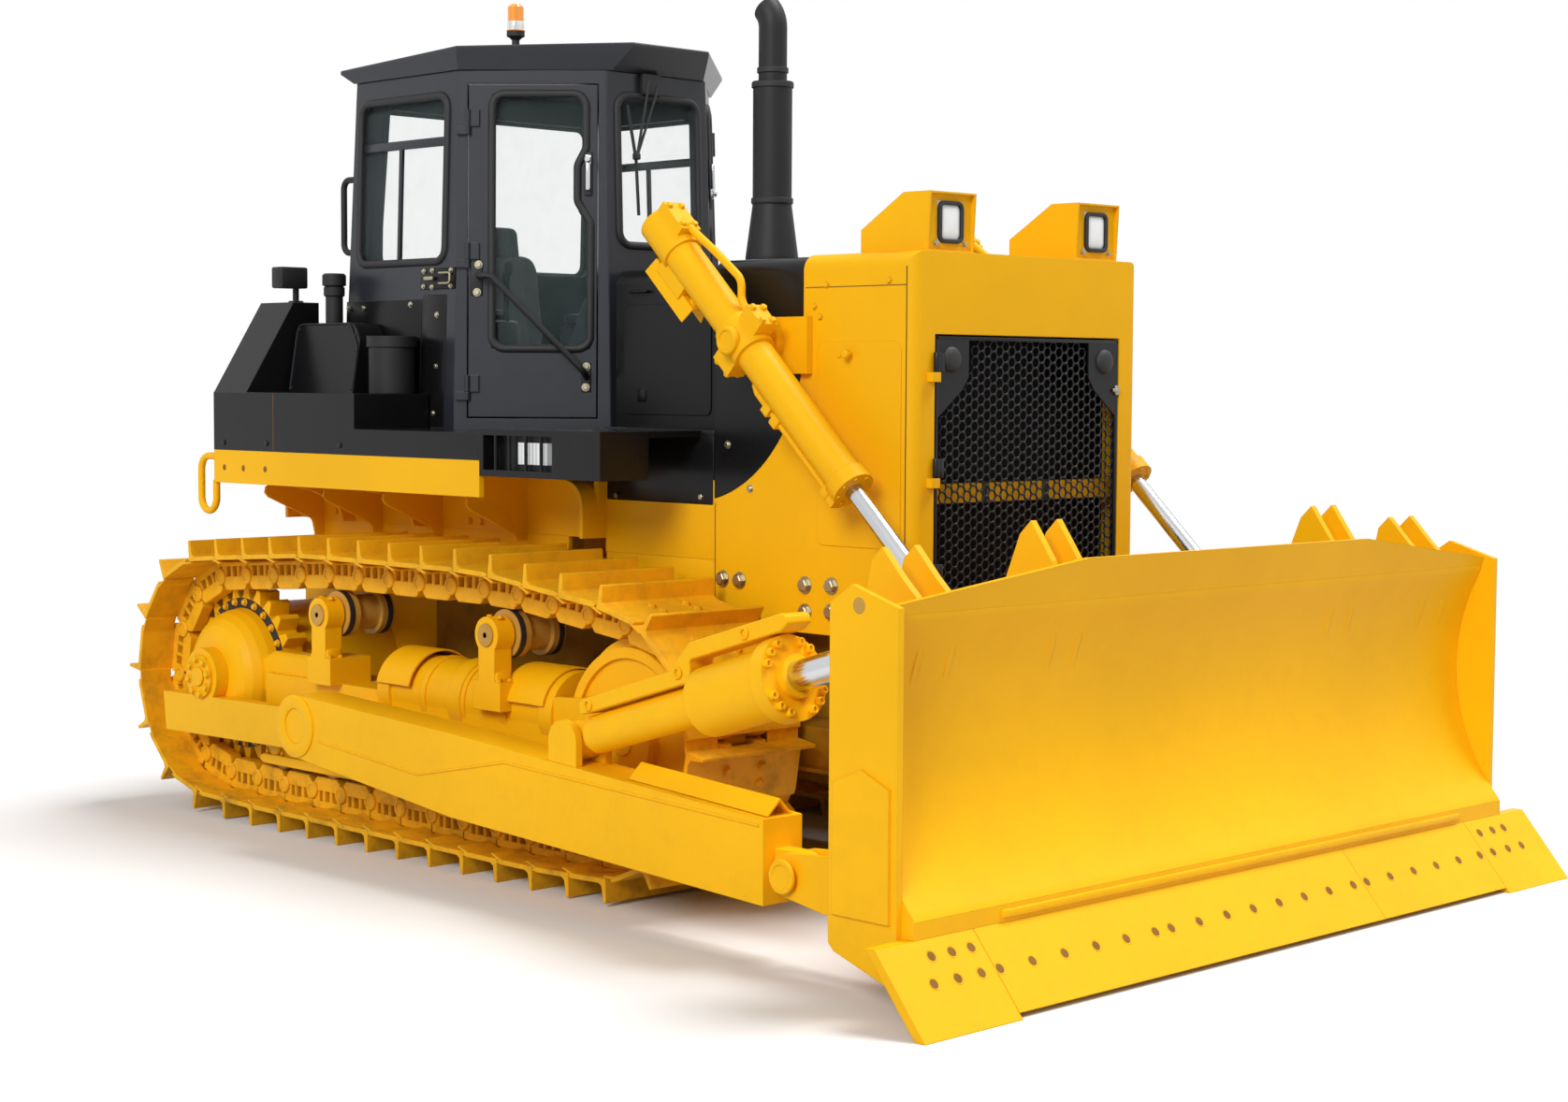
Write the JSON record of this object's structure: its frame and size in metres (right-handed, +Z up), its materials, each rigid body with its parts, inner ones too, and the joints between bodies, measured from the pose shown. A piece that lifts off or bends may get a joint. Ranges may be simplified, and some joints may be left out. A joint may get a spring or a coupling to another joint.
{
  "type": "bulldozer",
  "caption": "Track-type bulldozer with a straight tilting blade on side push arms, side lift cylinders and a glazed six-sided cab with opening doors.",
  "frame": {"origin": "on the ground below the middle of the length and width, blade and drawbar included", "axes": "+X forward towards the blade, +Y to the machine's left, +Z up"},
  "size_m": [5.5182, 3.724, 3.5894],
  "materials": {
    "yellow_paint": "gloss",
    "track_paint": "satin",
    "charcoal_paint": "satin",
    "engine_paint": "satin",
    "roller_steel": "satin",
    "radiator_core": "matte",
    "lamp_glass": "gloss",
    "stack_paint": "matte",
    "window_glass": "gloss",
    "seat_cover": "matte",
    "beacon_lens": "gloss",
    "grille_paint": "satin",
    "rod_chrome": "gloss"
  },
  "bodies": {
    "chassis": {"main_frame": "yellow_paint", "rear_case": "yellow_paint", "drawbar": "yellow_paint", "engine_block": "engine_paint", "track_right": "track_paint", "track_left": "track_paint", "track_frames": "yellow_paint", "final_drives": "yellow_paint", "idlers": "yellow_paint", "carrier_rollers": "roller_steel", "track_rollers": "roller_steel", "radiator_guard": "yellow_paint", "radiator_core": "radiator_core", "hood": "charcoal_paint", "side_covers": "charcoal_paint", "headlamps": "yellow_paint", "lamp_lenses": "lamp_glass", "exhaust": "stack_paint", "fenders": "yellow_paint", "fuel_tank": "charcoal_paint", "fender_boxes": "charcoal_paint", "filter_canister": "stack_paint", "lamp_boxes": "charcoal_paint", "cab_floor": "charcoal_paint", "cab_sides": "charcoal_paint", "cab_front": "charcoal_paint", "cab_rear": "charcoal_paint", "cab_roof": "charcoal_paint", "cab_glass": "window_glass", "seat_unit": "seat_cover", "beacon": "beacon_lens", "handrails": "stack_paint", "lift_yokes": "yellow_paint"},
    "push_arms": {"push_arms": "yellow_paint"},
    "blade": {"moldboard": "yellow_paint", "cutting_edges": "yellow_paint"},
    "lift_barrel_right": {"lift_barrel_right": "yellow_paint"},
    "lift_barrel_left": {"lift_barrel_left": "yellow_paint"},
    "lift_rod_right": {"lift_rod_right": "rod_chrome"},
    "lift_rod_left": {"lift_rod_left": "rod_chrome"},
    "tilt_barrel": {"tilt_barrel": "yellow_paint"},
    "tilt_rod": {"tilt_rod": "rod_chrome"},
    "brace_tube": {"brace_tube": "yellow_paint"},
    "brace_screw": {"brace_screw": "roller_steel"},
    "door_right": {"door_right": "charcoal_paint", "door_glass_right": "window_glass"},
    "door_left": {"door_left": "charcoal_paint", "door_glass_left": "window_glass"},
    "grille_door": {"grille_door": "grille_paint"}
  },
  "joints": [
    {"name": "lift", "type": "hinge", "parent": "chassis", "child": "push_arms", "pos_m": [-1.02, 0, 0.527], "axis": [0, -1, 0], "range_deg": [-8.3, 18.3]},
    {"name": "blade_pitch", "type": "hinge", "parent": "push_arms", "child": "blade", "pos_m": [1.809, 0, 0.316], "axis": [0, -1, 0], "range_deg": [-5, 5]},
    {"name": "lift_barrel_right", "type": "hinge", "parent": "chassis", "child": "lift_barrel_right", "pos_m": [0.858, -0.8, 2.078], "axis": [0, -1, 0], "range_deg": [-11.55, 25.45]},
    {"name": "lift_rod_right", "type": "slide", "parent": "lift_barrel_right", "child": "lift_rod_right", "axis": [0.7264, 0, -0.6872], "range_m": [-0.73721, 0.33439]},
    {"name": "lift_barrel_left", "type": "hinge", "parent": "chassis", "child": "lift_barrel_left", "pos_m": [0.858, 0.8, 2.078], "axis": [0, -1, 0], "range_deg": [-11.55, 25.45]},
    {"name": "lift_rod_left", "type": "slide", "parent": "lift_barrel_left", "child": "lift_rod_left", "axis": [0.7264, 0, -0.6872], "range_m": [-0.73721, 0.33439]},
    {"name": "tilt_barrel", "type": "hinge", "parent": "push_arms", "child": "tilt_barrel", "pos_m": [0.669, -1.43, 0.64], "axis": [0, -1, 0], "range_deg": [-1.76, 1.76]},
    {"name": "tilt_rod", "type": "slide", "parent": "tilt_barrel", "child": "tilt_rod", "axis": [0.96, 0, 0.2799], "range_m": [-0.05503, 0.05503]},
    {"name": "brace_tube", "type": "hinge", "parent": "push_arms", "child": "brace_tube", "pos_m": [0.669, 1.43, 0.64], "axis": [0, -1, 0], "range_deg": [-1.76, 1.76]},
    {"name": "brace_screw", "type": "slide", "parent": "brace_tube", "child": "brace_screw", "axis": [0.96, 0, 0.2799], "range_m": [-0.05503, 0.05503]},
    {"name": "door_right", "type": "hinge", "parent": "chassis", "child": "door_right", "pos_m": [-0.91996, -0.72735, 1.68039], "axis": [0.0225, -0.0233, -0.9995], "range_deg": [0, 110]},
    {"name": "door_left", "type": "hinge", "parent": "chassis", "child": "door_left", "pos_m": [-0.91996, 0.72735, 1.68039], "axis": [-0.0225, -0.0233, 0.9995], "range_deg": [0, 110]},
    {"name": "grille_door", "type": "hinge", "parent": "chassis", "child": "grille_door", "pos_m": [1.565, -0.529, 1.15], "axis": [0, 0, 1], "range_deg": [-45, 0]}
  ],
  "couplings": [
    {"joint": "lift_barrel_right", "follows": "lift", "ratio": 1.39},
    {"joint": "lift_rod_right", "follows": "lift", "m_per_rad": -2.308},
    {"joint": "lift_barrel_left", "follows": "lift", "ratio": 1.39},
    {"joint": "lift_rod_left", "follows": "lift", "m_per_rad": -2.308},
    {"joint": "tilt_barrel", "follows": "blade_pitch", "ratio": 0.35},
    {"joint": "tilt_rod", "follows": "blade_pitch", "m_per_rad": -0.63},
    {"joint": "brace_tube", "follows": "blade_pitch", "ratio": 0.35},
    {"joint": "brace_screw", "follows": "blade_pitch", "m_per_rad": -0.63}
  ]
}
